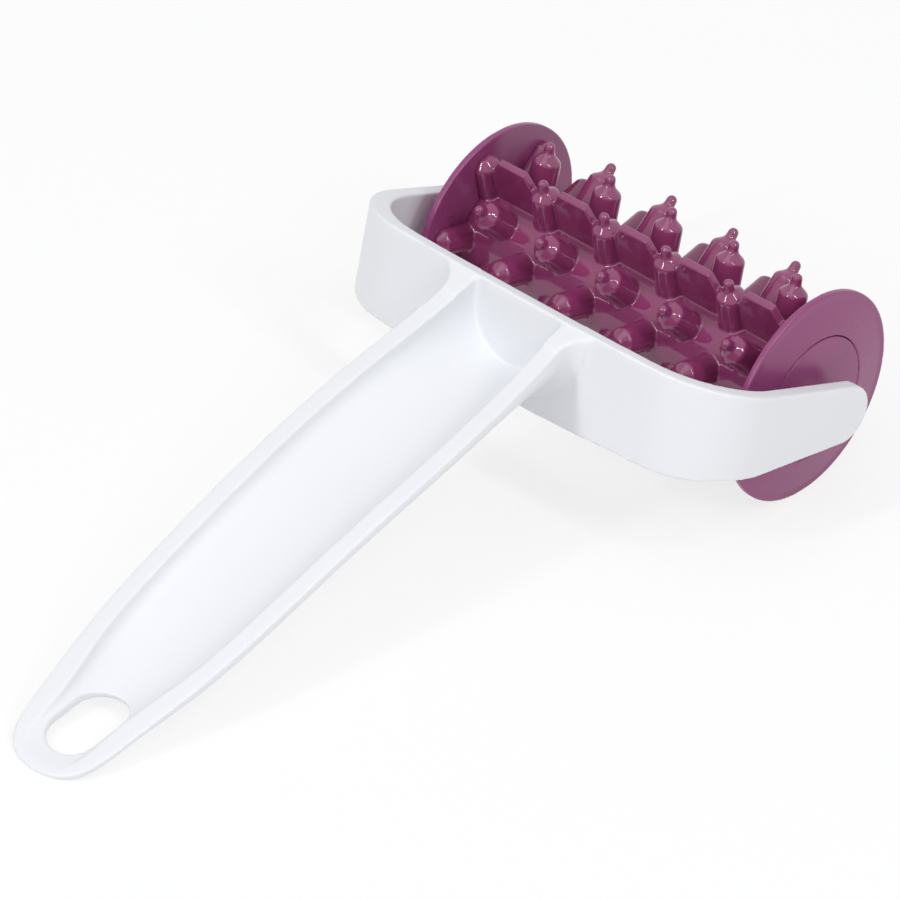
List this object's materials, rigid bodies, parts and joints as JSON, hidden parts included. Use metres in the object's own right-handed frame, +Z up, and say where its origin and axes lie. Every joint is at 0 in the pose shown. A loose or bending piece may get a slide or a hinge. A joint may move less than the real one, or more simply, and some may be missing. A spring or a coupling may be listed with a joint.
{
  "type": "dough docker",
  "caption": "Hand-held pricking roller for dough: a drum with rows of blunt pegs between two end discs turns in a yoke on a trough-shaped handle with a hang slot",
  "frame": {"origin": "centre of the bounding box, on the table under the tool", "axes": "+Y from the handle's end to the roller, +Z up, +X to the right along the roller's axle"},
  "size_m": [0.108, 0.2051, 0.048],
  "materials": {
    "white_plastic": "satin moulded plastic",
    "plum_plastic": "glossy moulded plastic",
    "plum_disc_plastic": "glossy moulded plastic",
    "plum_cap_plastic": "glossy moulded plastic"
  },
  "bodies": {
    "frame": {"handle_frame": "white_plastic"},
    "roller": {"roller_drum": "plum_plastic", "end_disc_left": "plum_disc_plastic", "end_disc_right": "plum_disc_plastic", "hub_cap_left": "plum_cap_plastic", "hub_cap_right": "plum_cap_plastic"}
  },
  "joints": [
    {"name": "roller_spin", "type": "hinge", "parent": "frame", "child": "roller", "pos_m": [0, 0.07855, 0.024], "axis": [1, 0, 0], "continuous": true}
  ]
}
